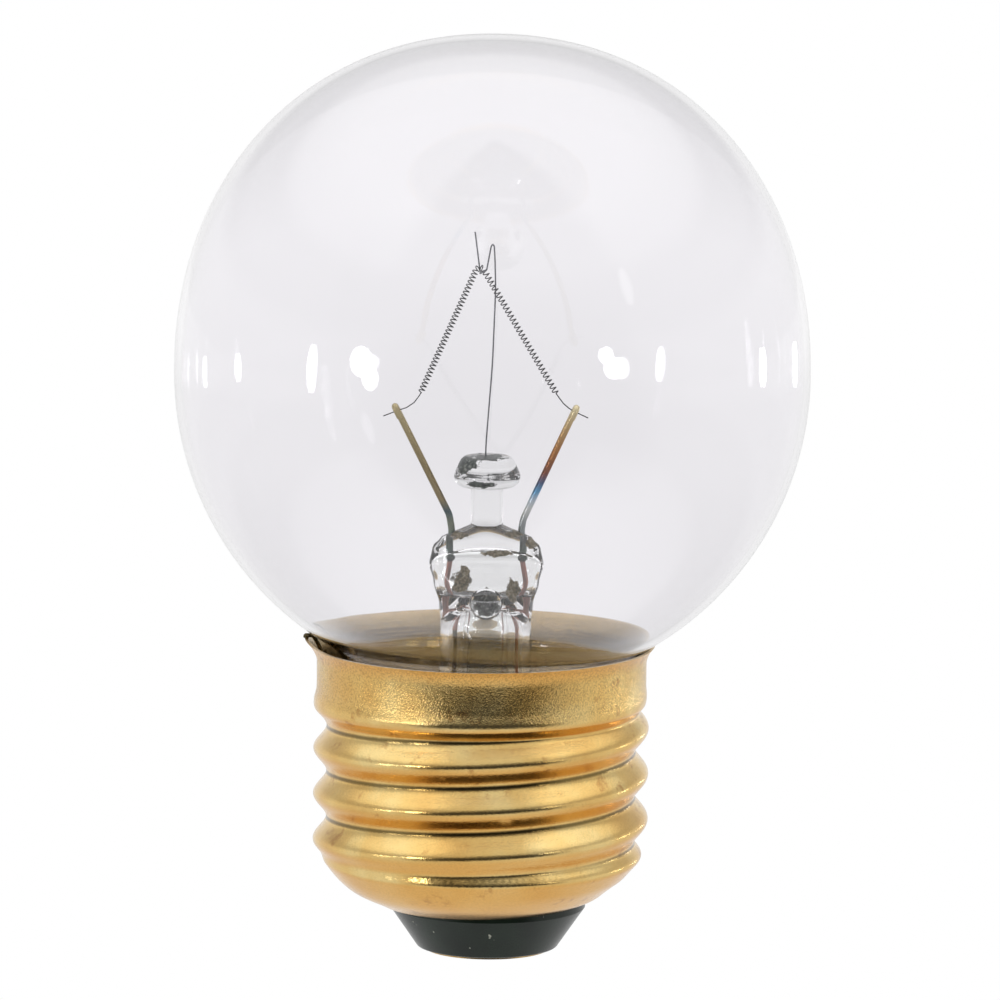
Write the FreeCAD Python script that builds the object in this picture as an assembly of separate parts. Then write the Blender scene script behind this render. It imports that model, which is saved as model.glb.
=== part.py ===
import FreeCAD, Part
import Mesh
import math
import os

# Clear globe lamp with a screw base. Millimetres, +Z runs from the centre contact to the globe.
# The origin is on the axis of the glass, at the tip of the centre contact.
# Levels are chained: contact, insulator, shell foot, thread, skirt, rim, glass seal, stem, filament.

# Centre contact and insulator
solder_drop = 0.5
solder_radius = 2.4
solder_flat_radius = 0.8
solder_depth = 1.6
eyelet_radius = 4.9
eyelet_wall = 0.3
eyelet_proud = 0.2
shank_radius = 1.5
shank_length = 2.6
cone_base_radius = 5.5
cone_edge_round = 0.35
cone_height = 3.3
collar_height = 2.9
collar_overlap = 1.3
collar_bevel = 0.6

# Screw shell: one rolled sheet with foot, thread, plain skirt and flared rim
sheet_wall = 0.27
skirt_radius = 12.97
crest_proud = 0.23
valley_depth = 0.8
thread_pitch = 3.629
thread_length = 13.1
thread_phase = 0.1
thread_fade = 1.6
crest_fade = 1.2
foot_radius = 9.0
foot_start_angle = 35.0
foot_end_angle = 70.0
skirt_length = 3.0
rim_height = 1.5
rim_flare = 0.66
lip_pull = 0.3
lip_rise = 0.3
lip_half_angle = 30.0
foot_lift = 0.5
shell_shift = -0.62
edge_gap = 0.05

# Globe and neck
globe_radius = 24.95
crown_height = 26.49
crown_power = 2.13
glass_wall = 0.55
neck_gap = 0.82
neck_fillet = 4.0
neck_fillet_depth = 3.17
neck_depth = 10.8
neck_end_round = 0.25

# Stem: flare, press, exhaust tube, arbor rod with its button
stem_shift = -0.33
flare_tube_radius = 3.6
flare_wall = 0.7
flare_bend = 5.5
flare_tube_top = 12.5
press_height = 7.4
press_half_width = 4.52
press_half_thickness = 1.65
cavity_height = 0.9
slit_half_width = 0.25
exhaust_radius = 1.8
exhaust_bore = 1.27
exhaust_seat = 1.8
exhaust_tip_drop = 3.4
blow_hole_radius = 1.15
dome_rise = 0.5
arbor_radius = 1.27
arbor_length = 3.35
button_radius = 2.62
button_top_radius = 2.0
button_height = 2.45
button_bulge = 0.2

# Leads, seal wires and outer leads: left is -X, right is +X
lead_radius = 0.27
hook_leg = 0.6
hook_gap = 0.005
wire_bend = 1.6
seal_wire_radius = 0.2
seal_wire_drop = 6.1
outer_lead_radius = 0.16
lead_bite = 1.8
left_lead_exit = 2.76
right_lead_exit = 2.74
left_bend_out = 2.95
right_bend_out = 2.87
left_bend_rise = 1.1
right_bend_rise = 0.8
left_tip_out = 7.13
right_tip_out = 6.8
lead_tip_rise = 9.43
weld_radius = 0.38
tube_wire_out = 2.45
centre_lead_clear = 0.5
side_lead_gap = 0.5
side_lead_clear = 0.2
side_lead_drop = 1.2
side_bead_radius = 0.26

# Filament and its support
filament_wire = 0.045
coil_radius = 0.235
left_coil_pitch = 0.305
right_coil_pitch = 0.347
coil_stations = 8
coil_bend = 0.35
left_foot_in = 1.85
right_foot_in = 1.4
coil_foot_rise = 1.33
tail_length = 1.2
apex_shift = -0.77
apex_rise = 21.13
support_radius = 0.06
support_bite = 0.9
support_foot_out = -0.15
support_middle_out = 0.33
support_rise_out = 0.52
support_sweep = 60.0
loop_gap = 0.03
grip_past_bend = 0.06
support_peak_out = 0.65
support_peak_rise = 2.12
support_tail_out = 0.74
support_tail_rise = 3.0

# Cement between neck and shell
cement_lift = 0.6
cement_height = 4.8
cement_gap = 0.02

side_sign = {"left": -1.0, "right": 1.0}
coil_foot_in = {"left": left_foot_in, "right": right_foot_in}
# Shares of the way from a hook to the coil's foot, across and up, that its tail runs through
tail_bends = {"left": ((0.22, 0.04), (0.6, 0.27), (0.85, 0.63)), "right": ((0.16, 0.1), (0.5, 0.32), (0.78, 0.65))}
lead_exit = {"left": left_lead_exit, "right": right_lead_exit}
lead_bend_out = {"left": left_bend_out, "right": right_bend_out}
lead_bend_rise = {"left": left_bend_rise, "right": right_bend_rise}
lead_tip_out = {"left": left_tip_out, "right": right_tip_out}


def sin_deg(angle):
    return math.sin(math.radians(angle))


def cos_deg(angle):
    return math.cos(math.radians(angle))


# Radii that follow from the sizes above
crest_radius = skirt_radius + crest_proud
valley_radius = skirt_radius - valley_depth
neck_radius = valley_radius - sheet_wall - neck_gap
fillet_reach = neck_radius + neck_fillet
fillet_drop = math.sqrt((globe_radius + neck_fillet) ** 2 - fillet_reach ** 2)

# Levels from the contact's tip upwards
cone_base = solder_drop
eyelet_base = cone_base - eyelet_proud
foot_level = cone_base + cone_height
barrel_base = foot_level + foot_radius * (sin_deg(foot_end_angle) - sin_deg(foot_start_angle))
foot_hole_radius = valley_radius - foot_radius * (cos_deg(foot_start_angle) - cos_deg(foot_end_angle))
thread_top = barrel_base + thread_length
skirt_top = thread_top + skirt_length
rim_level = skirt_top + rim_height
equator_level = rim_level - neck_fillet_depth + fillet_drop
seal_level = rim_level - neck_depth
tube_top_level = seal_level + flare_tube_top
press_top_level = tube_top_level + press_height
button_base_level = press_top_level + arbor_length
button_top_level = button_base_level + button_height
hook_level = press_top_level + lead_tip_rise
hook_turn = lead_radius + filament_wire + hook_gap


def vec(x, y, z):
    return FreeCAD.Vector(x, y, z)


def line(a, b):
    return Part.LineSegment(a, b).toShape()


def arc(a, middle, b):
    return Part.Arc(a, middle, b).toShape()


def outline_face(points):
    """A closed straight-sided face from (radius, level) corners."""
    corners = [vec(r, 0, z) for r, z in points]
    return Part.Face(Part.Wire([line(a, b) for a, b in zip(corners, corners[1:] + corners[:1])]))


def turn_around(face, axis_x=0.0):
    """A solid of revolution from a face in the XZ plane."""
    return face.revolve(vec(axis_x, 0, 0), vec(0, 0, 1), 360)


def on_stem(shape):
    """The stem was sealed in a little off the globe's axis."""
    return shape.translated(vec(stem_shift, 0, 0))


def ease(value, start, end):
    """0 before start, 1 after end, smooth between them."""
    share = min(1.0, max(0.0, (value - start) / (end - start)))
    return share * share * (3 - 2 * share)


def bent_path(points, bend, sweep=0.0):
    """Straight runs joined by tangent arcs: wide sweeps where the path hardly turns, else tight bends."""
    edges = []
    start = points[0]
    for before, corner, after in zip(points, points[1:], points[2:]):
        run_in = (corner - before).normalize()
        run_out = (after - corner).normalize()
        half_turn = run_in.getAngle(run_out) / 2
        room = 0.45 * min((corner - before).Length, (after - corner).Length)
        reach = max(bend, sweep) if half_turn < math.radians(7) else bend
        setback = min(reach * math.tan(half_turn), room)
        radius = setback / math.tan(half_turn)
        enter, leave = corner - run_in * setback, corner + run_out * setback
        inward = (run_out - run_in).normalize()
        middle = corner + inward * (radius / math.cos(half_turn) - radius)
        edges += [line(start, enter), arc(enter, middle, leave)]
        start = leave
    return edges + [line(start, points[-1])]


def round_wire(edges, radius):
    """A solid wire of round section along a path of lines and arcs."""
    first = edges[0]
    start, end = first.Vertexes[0].Point, first.Vertexes[-1].Point
    section = Part.Face(Part.Wire(Part.Circle(start, end - start, radius).toShape()))
    return Part.Wire(edges).makePipe(section)


# Screw shell
def thread_wave(theta, level):
    """1 on a crest, -1 in a valley; the crest climbs one pitch in a right-hand turn."""
    return math.cos(2 * math.pi * (level - barrel_base - thread_phase) / thread_pitch - theta)


def lip_share(theta):
    """1 at the middle of the pulled lip at -X, 0 outside it."""
    turn = min(1.0, abs(theta - math.pi) / math.radians(lip_half_angle))
    return math.cos(turn * math.pi / 2) ** 2


def skew(theta, level):
    """How much higher the sheet stands than its plain level: the foot at +X and the lip at -X."""
    foot = (1 - ease(level, foot_level, barrel_base)) * (1 + math.cos(theta)) / 2
    rim = max(0.0, (level - skirt_top) / rim_height) ** 2 * lip_share(theta)
    return foot_lift * foot + lip_rise * rim


def barrel_radius(theta, level):
    """Outer radius of the threaded barrel, the skirt and the rim."""
    crest = 0.5 + 0.5 * thread_wave(theta, level)
    start = ease(level, barrel_base, barrel_base + thread_fade)
    valley_share = start * (1 - ease(level, thread_top - crest_fade, thread_top))
    crest_share = start * (1 - ease(level, thread_top, thread_top + crest_fade))
    shoulder = (skirt_radius - valley_radius) * max(0.0, 1 - (level - barrel_base) / thread_fade) ** 2
    radius = skirt_radius - shoulder
    radius -= (skirt_radius - valley_radius) * (1 - crest) * valley_share
    radius += (crest_radius - skirt_radius) * crest * crest_share
    rise = max(0.0, (level - skirt_top) / rim_height)
    return radius + (rim_flare + lip_pull * lip_share(theta)) * rise ** 2


def foot_point(angle):
    """Outer (radius, level) of the turned-in foot where its slope from upright has this angle."""
    radius = valley_radius - foot_radius * (cos_deg(foot_start_angle) - cos_deg(angle))
    return radius, barrel_base - foot_radius * (sin_deg(angle) - sin_deg(foot_start_angle))


def meridian(theta):
    """Outer (radius, level) points of the sheet at one angle, from the foot's hole to the rim."""
    foot_steps, level_step = 6, 0.33
    foot = [foot_point(foot_end_angle + (foot_start_angle - foot_end_angle) * k / foot_steps)
            for k in range(foot_steps)]
    steps = round((rim_level - barrel_base) / level_step)
    levels = [barrel_base + (rim_level - barrel_base) * k / steps for k in range(steps + 1)]
    return foot + [(barrel_radius(theta, level), level) for level in levels]


def skin_face(inset):
    """The sheet's outer skin, or its inner skin at the sheet's thickness."""
    columns = 36
    rows = []
    for column in range(columns):
        theta = 2 * math.pi * column / columns
        outline = meridian(theta)
        row = []
        for k, (radius, level) in enumerate(outline):
            before, after = outline[max(k - 1, 0)], outline[min(k + 1, len(outline) - 1)]
            run_r, run_z = after[0] - before[0], after[1] - before[1]
            length = math.hypot(run_r, run_z)
            at_rim = k == len(outline) - 1
            inner = radius - inset * (1.0 if at_rim else run_z / length)
            height = level + skew(theta, level) + (0.0 if at_rim else inset * run_r / length)
            shift = shell_shift * ease(level, foot_level, (foot_level + barrel_base) / 2)
            row.append(vec(shift + inner * math.cos(theta), inner * math.sin(theta), height))
        rows.append(row)
    surface = Part.BSplineSurface()
    surface.interpolate(rows + [rows[0]])
    return surface.toShape()


def edge_at(face, level):
    """The edge of a skin that lies nearest to a level."""
    return min(face.Edges, key=lambda e: abs(e.BoundBox.ZMin - level) + abs(e.BoundBox.ZMax - level))


def make_screw_shell():
    outer, inner = skin_face(0.0), skin_face(sheet_wall)
    rim = Part.makeRuledSurface(edge_at(outer, rim_level), edge_at(inner, rim_level))
    hole = Part.makeRuledSurface(edge_at(outer, foot_level), edge_at(inner, foot_level))
    sheet = Part.makeCompound([outer, inner, rim, hole])
    sheet.sewShape()
    solid = Part.makeSolid(sheet.Shells[0])
    if solid.Volume < 0:
        solid.reverse()
    return solid


# Insulator and contact
def make_base_insulator():
    """Black glass run into the foot: cone outside, a neck in the hole and a collar inside."""
    neck = foot_hole_radius - sheet_wall * cos_deg(foot_end_angle) - edge_gap
    collar = foot_hole_radius + collar_overlap
    slope = math.acos(cos_deg(foot_start_angle) - (valley_radius - collar) / foot_radius)
    collar_base = foot_point(math.degrees(slope))[1] + sheet_wall / math.sin(slope) + foot_lift + 4 * edge_gap
    collar_top = foot_level + collar_height
    recess_top = eyelet_base + eyelet_wall
    body = turn_around(outline_face([
        (shank_radius, recess_top), (eyelet_radius, recess_top), (eyelet_radius, cone_base),
        (cone_base_radius, cone_base), (neck, foot_level - edge_gap), (neck, collar_base),
        (collar, collar_base), (collar, collar_top - collar_bevel),
        (collar - collar_bevel, collar_top), (shank_radius, collar_top)]))
    corner = vec(cone_base_radius, 0, cone_base)
    edge = min(body.Edges, key=lambda e: e.distToShape(Part.Vertex(corner))[0] + e.BoundBox.ZLength)
    return body.makeFillet(cone_edge_round, [edge])


def make_contact_eyelet():
    bore = shank_radius - eyelet_wall
    flange_top, shank_top = eyelet_base + eyelet_wall, eyelet_base + shank_length
    return turn_around(outline_face([
        (bore, eyelet_base), (eyelet_radius, eyelet_base), (eyelet_radius, flange_top),
        (shank_radius, flange_top), (shank_radius, shank_top), (bore, shank_top)]))


def make_centre_solder(centre_lead):
    """A cap of solder with a small flat at its tip, and the plug in the eyelet's bore."""
    bore, plug_top = shank_radius - eyelet_wall, eyelet_base + solder_depth
    flat, edge = vec(solder_flat_radius, 0, 0), vec(solder_radius, 0, eyelet_base)
    bulge = vec((solder_flat_radius + 1.6 * solder_radius) / 2.6, 0, 0.3 * eyelet_base)
    lip, plug, top = vec(bore, 0, eyelet_base), vec(bore, 0, plug_top), vec(0, 0, plug_top)
    edges = [line(vec(0, 0, 0), flat), arc(flat, bulge, edge), line(edge, lip), line(lip, plug),
             line(plug, top), line(top, vec(0, 0, 0))]
    return turn_around(Part.Face(Part.Wire(edges))).cut(centre_lead)


# Globe
def crown_curve(inset):
    """The crown from the top of the globe to its equator, as a superellipse."""
    steps, power = 12, 2.0 / crown_power
    points = []
    for k in range(steps + 1):
        across = sin_deg(90.0 * k / steps) ** power
        up = max(0.0, cos_deg(90.0 * k / steps)) ** power if k < steps else 0.0
        points.append(vec((globe_radius - inset) * across, 0, equator_level + (crown_height - inset) * up))
    curve = Part.BSplineCurve()
    curve.interpolate(points, InitialTangent=vec(1, 0, 0), FinalTangent=vec(0, 0, -1))
    return curve.toShape()


def globe_outline(inset):
    """Crown, lower half, fillet and neck of one side of the wall, from the top to the neck's end."""
    radius, neck, fillet = globe_radius - inset, neck_radius - inset, neck_fillet + inset
    tangent = math.atan2(fillet_reach, fillet_drop)
    half, bend = (tangent + math.pi / 2) / 2, (tangent + math.pi / 2) / 2
    join = vec(radius * math.sin(tangent), 0, equator_level - radius * math.cos(tangent))
    middle = vec(radius * math.sin(half), 0, equator_level - radius * math.cos(half))
    fillet_level = equator_level - fillet_drop
    fillet_middle = vec(fillet_reach - fillet * math.sin(bend), 0, fillet_level + fillet * math.cos(bend))
    neck_top = vec(neck, 0, fillet_level)
    return [crown_curve(inset), arc(vec(radius, 0, equator_level), middle, join),
            arc(join, fillet_middle, neck_top), line(neck_top, vec(neck, 0, seal_level))]


def make_glass_envelope():
    outer, inner = globe_outline(0.0), globe_outline(glass_wall)
    top = line(vec(0, 0, equator_level + crown_height), vec(0, 0, equator_level + crown_height - glass_wall))
    end = line(vec(neck_radius, 0, seal_level), vec(neck_radius - glass_wall, 0, seal_level))
    profile = Part.Face(Part.Wire(Part.__sortEdges__(outer + inner + [top, end])))
    envelope = turn_around(profile)
    outer_end = [e for e in envelope.Edges if e.BoundBox.ZMax < seal_level + 0.01
                 and e.BoundBox.XLength > 2 * neck_radius - 0.1]
    return envelope.makeFillet(neck_end_round, outer_end)


# Stem
def ellipse_wire(half_x, half_y, level):
    centre = vec(0, 0, level)
    if abs(half_x - half_y) < 1e-6:
        return Part.Wire(Part.Circle(centre, vec(0, 0, 1), half_x).toShape())
    return Part.Wire(Part.Ellipse(centre + vec(half_x, 0, 0), centre + vec(0, half_y, 0), centre).toShape())


def loft_of(sections, base, height):
    """A solid through ellipses given as (share of the height, half width, half thickness)."""
    wires = [ellipse_wire(x, y, base + share * height) for share, x, y in sections]
    return Part.makeLoft(wires, True, False)


def flare_solid(radius, bend, foot_top, foot_reach):
    """The flare as a full trumpet, with its foot's top, or its bore's, at foot_top."""
    centre = vec(flare_tube_radius + flare_bend, 0, seal_level + flare_wall + flare_bend)
    edges = [line(vec(0, 0, seal_level), vec(foot_reach, 0, seal_level))]
    if foot_top > seal_level:
        edges.append(line(vec(foot_reach, 0, seal_level), vec(foot_reach, 0, foot_top)))
        edges.append(line(vec(foot_reach, 0, foot_top), vec(centre.x, 0, foot_top)))
    corner = centre + vec(-bend * cos_deg(45), 0, -bend * sin_deg(45))
    edges += [arc(vec(centre.x, 0, foot_top), corner, vec(radius, 0, centre.z)),
              line(vec(radius, 0, centre.z), vec(radius, 0, tube_top_level)),
              line(vec(radius, 0, tube_top_level), vec(0, 0, tube_top_level)),
              line(vec(0, 0, tube_top_level), vec(0, 0, seal_level))]
    return turn_around(Part.Face(Part.Wire(edges)))


def make_press():
    """The pinched glass block: round at the tube, wide and flat above, with rounded shoulders."""
    wide, thick, tube = press_half_width, press_half_thickness, flare_tube_radius
    return loft_of([
        (0.0, tube, tube), (0.2, tube * 1.03, tube * 0.86), (0.42, wide * 0.92, thick * 1.35),
        (0.62, wide, thick), (0.8, wide * 0.945, thick * 0.95), (0.92, wide * 0.78, thick * 0.88),
        (1.0, wide * 0.45, arbor_radius)], tube_top_level, press_height)


def make_press_hollow():
    """What is open in the press: the pinched end of the bore, the tube's seat and the blown hole."""
    bore = flare_tube_radius - flare_wall
    slit = loft_of([(0.0, bore, bore), (0.45, bore * 0.97, bore * 0.8), (0.8, bore * 0.9, bore * 0.45),
                    (1.0, bore * 0.8, slit_half_width)], tube_top_level, cavity_height)
    seat_level = tube_top_level + exhaust_seat
    seat = Part.makeCylinder(exhaust_radius, exhaust_seat, vec(0, 0, tube_top_level))
    well = Part.makeCylinder(exhaust_bore, dome_rise, vec(0, 0, seat_level))
    dome = Part.makeSphere(exhaust_bore, vec(0, 0, seat_level + dome_rise))
    hole = Part.makeCylinder(blow_hole_radius, 2 * flare_tube_radius, vec(0, 0, seat_level), vec(0, -1, 0))
    return slit.fuse([seat, well, dome, hole])


def make_glass_stem(wires):
    """Flare and press in one piece of glass, closed on the wires that pass through it."""
    inner_neck = neck_radius - glass_wall
    body = flare_solid(flare_tube_radius, flare_bend, seal_level + flare_wall, 2 * inner_neck)
    bore = flare_solid(flare_tube_radius - flare_wall, flare_bend + flare_wall, seal_level,
                       flare_tube_radius + flare_bend)
    glass = body.fuse(make_press()).cut(bore.fuse(make_press_hollow()))
    seat = Part.makeCylinder(inner_neck, press_top_level, vec(0, 0, seal_level))
    return on_stem(glass).common(seat).cut(Part.makeCompound(wires)).removeSplitter()


def make_exhaust_tube():
    """A tube seated in the press, open at the top and melted to a rounded tip at the bottom."""
    top, tip = tube_top_level + exhaust_seat, seal_level - exhaust_tip_drop
    shoulder = tip + exhaust_radius
    bore_end, floor = shoulder + exhaust_bore, shoulder - 0.2 * exhaust_radius
    corner = vec(exhaust_radius * sin_deg(45), 0, shoulder - exhaust_radius * cos_deg(45))
    edges = [line(vec(exhaust_bore, 0, top), vec(exhaust_radius, 0, top)),
             line(vec(exhaust_radius, 0, top), vec(exhaust_radius, 0, shoulder)),
             arc(vec(exhaust_radius, 0, shoulder), corner, vec(0, 0, tip)),
             line(vec(0, 0, tip), vec(0, 0, floor)),
             line(vec(0, 0, floor), vec(exhaust_bore, 0, bore_end)),
             line(vec(exhaust_bore, 0, bore_end), vec(exhaust_bore, 0, top))]
    return on_stem(turn_around(Part.Face(Part.Wire(edges))))


def make_arbor_rod(support):
    """The cane on the press, melted to a button that holds the support wire."""
    widest = button_base_level + 0.48 * button_height
    rod_foot, rod_top = vec(arbor_radius, 0, press_top_level), vec(arbor_radius, 0, button_base_level)
    side, crown = vec(button_radius, 0, widest), vec(button_top_radius, 0, button_top_level)
    under = vec(0.87 * button_radius, 0, button_base_level + 0.13 * button_height)
    over = vec((side.x + crown.x) / 2 + 0.75 * button_bulge, 0, (widest + button_top_level) / 2 + button_bulge)
    top = vec(0, 0, button_top_level)
    edges = [line(vec(0, 0, press_top_level), rod_foot), line(rod_foot, rod_top), arc(rod_top, under, side),
             arc(side, over, crown), line(crown, top), line(top, vec(0, 0, press_top_level))]
    return on_stem(turn_around(Part.Face(Part.Wire(edges)))).cut(support)


# Wires
def hook_centre(side):
    """Where the filament's tail is held in the hook of a lead."""
    return vec(side_sign[side] * lead_tip_out[side], -hook_turn, hook_level)


def make_inner_lead(side):
    """A lead from its weld in the press to the hairpin hook that is closed on the filament's tail."""
    sign = side_sign[side]
    foot = vec(sign * lead_exit[side], 0, press_top_level - lead_bite)
    bend = vec(sign * lead_bend_out[side], 0, press_top_level + lead_bend_rise[side])
    tip = vec(sign * lead_tip_out[side], 0, hook_level)
    along = (tip - bend).normalize()
    back = vec(0, -2 * hook_turn, 0)
    crown = tip + along * hook_turn + back * 0.5
    edges = bent_path([foot, vec(foot.x, 0, press_top_level), bend, tip], wire_bend)
    edges += [arc(tip, crown, tip + back), line(tip + back, tip + back - along * hook_leg)]
    return on_stem(round_wire(edges, lead_radius))


def make_seal_wire(side):
    """The wire that the press glass is closed on, with the bead of its weld to the inner lead."""
    sign = side_sign[side]
    weld = press_top_level - lead_bite
    out = sign * lead_exit[side]
    end = weld - seal_wire_drop
    points = [vec(out, 0, weld), vec(out, 0, weld - 0.12 * seal_wire_drop),
              vec(out * 1.1, 0, weld - 0.4 * seal_wire_drop),
              vec(sign * tube_wire_out, 0, weld - 0.75 * seal_wire_drop), vec(sign * tube_wire_out, 0, end)]
    weld_bead = Part.makeSphere(weld_radius, vec(out, 0, weld - weld_radius))
    return on_stem(round_wire(bent_path(points, wire_bend), seal_wire_radius).fuse(weld_bead))


def outer_lead_start(side):
    level = press_top_level - lead_bite - seal_wire_drop
    return vec(stem_shift + side_sign[side] * tube_wire_out, 0, level)


def make_outer_lead_centre():
    """From the right seal wire past the exhaust tube's tip to the solder of the contact."""
    start = outer_lead_start("right")
    tip_level = seal_level - exhaust_tip_drop
    points = [start, vec(start.x, 0, tip_level - centre_lead_clear), vec(0, 0, foot_level + collar_height),
              vec(0, 0, eyelet_base + 0.3 * solder_depth)]
    return round_wire(bent_path(points, wire_bend), outer_lead_radius)


def side_bead_centre():
    return vec(shell_shift - skirt_radius - rim_flare - lip_pull + sheet_wall / 2, 0, rim_level + lip_rise)


def make_outer_lead_side():
    """From the left seal wire under the neck's end and up between neck and shell to the lip."""
    start, bead = outer_lead_start("left"), side_bead_centre()
    low, over = seal_level - side_lead_drop, bead.z + outer_lead_radius + cement_gap
    out = -neck_radius - side_lead_gap
    clear = outer_lead_radius + side_lead_clear
    skirt_inside = shell_shift - skirt_radius + sheet_wall + clear
    lip_inside = bead.x + sheet_wall / 2 + clear + cement_gap
    points = [start, vec(start.x, 0, low), vec(out, 0, low), vec(out, 0, skirt_top - 2 * rim_height),
              vec(skirt_inside, 0, skirt_top - 0.2 * rim_height),
              vec((skirt_inside + lip_inside) / 2, 0, rim_level - 0.2 * rim_height),
              vec(lip_inside, 0, over), vec(bead.x, 0, over)]
    return round_wire(bent_path(points, wire_bend), outer_lead_radius)


def make_side_solder(side_lead):
    """A small bead on the edge of the rim that joins the side lead to it."""
    centre = side_bead_centre()
    bead = Part.makeSphere(side_bead_radius, centre + vec(0, 0, side_bead_radius / 3))
    below = Part.makeCylinder(2 * side_bead_radius, side_bead_radius, centre - vec(0, 0, side_bead_radius))
    return bead.cut(below).cut(side_lead)


# Filament and support
def coil_foot(side):
    hook = hook_centre(side)
    return vec(hook.x - side_sign[side] * coil_foot_in[side], 0, hook.z + coil_foot_rise)


def coil_legs():
    """The two straight legs of the coil's axis, its apex corner and the bend between them."""
    left, right = coil_foot("left"), coil_foot("right")
    corner = vec(apex_shift, 0, press_top_level + apex_rise)
    up, down = (corner - left).normalize(), (right - corner).normalize()
    turn = up.getAngle(down)
    setback = coil_bend * math.tan(turn / 2)
    return left, right, corner, up, down, turn, setback


def coil_axis(distance):
    """Point and direction of the coil's axis at a distance from its left foot."""
    left, right, corner, up, down, turn, setback = coil_legs()
    leg = (corner - left).Length - setback
    bend_length = coil_bend * turn
    if distance < leg:
        return left + up * distance, up
    if distance > leg + bend_length:
        return corner + down * (setback + distance - leg - bend_length), down
    swung = (distance - leg) / coil_bend
    side = vec(up.z, 0, -up.x)
    centre = corner - up * setback + side * coil_bend
    direction = up * math.cos(swung) + side * math.sin(swung)
    return centre - vec(direction.z, 0, -direction.x) * coil_bend, direction


def coil_bend_ends():
    """Distances along the coil's axis at which its bend starts and ends, and the axis's whole length."""
    left, right, corner, _, _, turn, setback = coil_legs()
    start = (corner - left).Length - setback
    end = start + coil_bend * turn
    return start, end, end + (right - corner).Length - setback


def coil_stops():
    """Distances along the axis, a fixed count to each turn; the right leg is drawn out further."""
    start, end, length = coil_bend_ends()
    apex = (start + end) / 2
    stops = [0.0]
    for span, pitch in ((apex, left_coil_pitch), (length - apex, right_coil_pitch)):
        count, base = round(span / pitch) * coil_stations, stops[-1]
        stops += [base + span * (k + 1) / count for k in range(count)]
    return stops


def filament_path():
    """Centre points of the filament's wire from tail to tail."""
    stops = coil_stops()
    count = len(stops) - 1
    coil = []
    for k, stop in enumerate(stops):
        point, along = coil_axis(stop)
        radius = coil_radius * min(1.0, 2 * k / coil_stations, 2 * (count - k) / coil_stations)
        phase = -2 * math.pi * k / coil_stations
        outward = vec(along.z, 0, -along.x) * math.cos(phase) + vec(0, 1, 0) * math.sin(phase)
        coil.append(point + outward * radius)
    tails = {}
    for side, sign in side_sign.items():
        hook, foot = hook_centre(side), coil_foot(side)
        cut_end = hook + vec(sign * tail_length * 0.88, 0, -tail_length * 0.4)
        tails[side] = [cut_end, hook]
        for across, up in tail_bends[side]:
            tails[side].append(vec(hook.x + across * (foot.x - hook.x), hook.y * (1 - up),
                                   hook.z + up * (foot.z - hook.z)))
    return tails["left"] + coil + tails["right"][::-1]


def make_filament():
    """A wire with a four-sided section, carried along the coil without twist."""
    points = filament_path()
    rings = []
    side = vec(0, 1, 0)
    for k, point in enumerate(points):
        along = (points[min(k + 1, len(points) - 1)] - points[max(k - 1, 0)]).normalize()
        side = (side - along * side.dot(along)).normalize()
        across = along.cross(side)
        rings.append([point + side * filament_wire, point + across * filament_wire,
                      point - side * filament_wire, point - across * filament_wire])
    facets = []
    for first, second in zip(rings, rings[1:]):
        for a, b, c, d in zip(first, first[1:] + first[:1], second[1:] + second[:1], second):
            facets += [(a, b, c), (a, c, d)]
    start, end = rings[0], rings[-1]
    facets += [(start[0], start[2], start[1]), (start[0], start[3], start[2])]
    facets += [(end[0], end[1], end[2]), (end[0], end[2], end[3])]
    shape = Part.Shape()
    shape.makeShapeFromMesh(Mesh.Mesh(facets).Topology, 0.0005)
    solid = Part.makeSolid(shape)
    if solid.Volume < 0:
        solid.reverse()
    return on_stem(solid)


def make_support_wire():
    """A wire out of the button, up behind the coil to a hairpin peak, then under the coil to a free tail."""
    _, bend_end, _ = coil_bend_ends()
    grip, down = coil_axis(bend_end + grip_past_bend)
    inside = vec(down.z, 0, -down.x)
    loop = coil_radius + filament_wire + support_radius + loop_gap
    behind, low = 1.15 * loop, button_top_level + support_bite
    across = vec(0, loop, 0)
    peak = vec(grip.x + support_peak_out, 0.3 * behind, grip.z + support_peak_rise)
    middle = 0.5 * (button_top_level + grip.z)
    points = [vec(support_foot_out, 0, low - 2 * support_bite), vec(support_foot_out + 0.02, 0, low),
              vec(support_middle_out, 0.5 * behind, middle),
              vec(support_rise_out, behind, 0.2 * middle + 0.8 * grip.z),
              vec(peak.x + 0.19, behind, grip.z + 2 * loop),
              peak + vec(0.12, 0.05, -0.25), peak, peak - vec(0.13, 0.05, 0.25),
              grip - inside * 0.6 * loop - across, grip + inside * loop - across,
              grip + inside * loop + across,
              grip + across + vec(-support_tail_out, 0, support_tail_rise)]
    return on_stem(round_wire(bent_path(points, 3 * support_radius, support_sweep), support_radius))


# Cement
def make_basing_cement(side_lead):
    """A ring of cement between the neck and the shell's thread valleys."""
    base = seal_level + cement_lift
    outer = valley_radius - sheet_wall - cement_gap
    ring = Part.makeCylinder(outer, cement_height, vec(shell_shift, 0, base))
    return ring.cut(Part.makeCylinder(neck_radius, cement_height, vec(0, 0, base))).cut(side_lead)


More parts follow.
